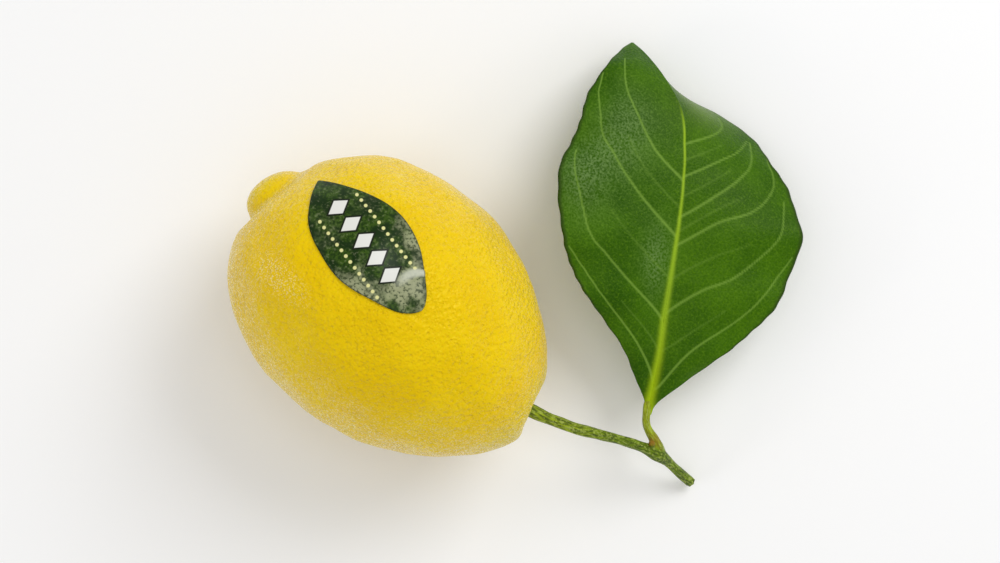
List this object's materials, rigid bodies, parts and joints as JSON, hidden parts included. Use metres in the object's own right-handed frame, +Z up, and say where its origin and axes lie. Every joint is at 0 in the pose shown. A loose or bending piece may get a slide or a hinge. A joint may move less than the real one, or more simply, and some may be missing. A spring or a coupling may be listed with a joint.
{
  "type": "lemon",
  "caption": "Whole yellow lemon on its side, as picked, with its stem-end calyx, a cut green twig, one stalked green leaf and a small plain oval peel label.",
  "frame": {"origin": "middle of the small flat spot that the fruit rests on, under its widest section", "axes": "+X along the fruit towards its stem end and twig, +Y towards the leaf, +Z up from the surface it lies on"},
  "size_m": [0.1308, 0.1215, 0.0653],
  "materials": {
    "peel": "waxy satin lemon peel with fine round pores",
    "calyx": "dry matte olive green",
    "twig": "fine-grooved matte green bark",
    "leaf_stalk": "smooth satin yellow-green",
    "leaf": "waxy satin dark green with pale veins",
    "label_film": "glossy printed film"
  },
  "bodies": {
    "root": {"fruit": "peel", "calyx": "calyx", "twig": "twig", "leaf_stalk": "leaf_stalk", "leaf_blade": "leaf", "label": "label_film"}
  },
  "joints": []
}
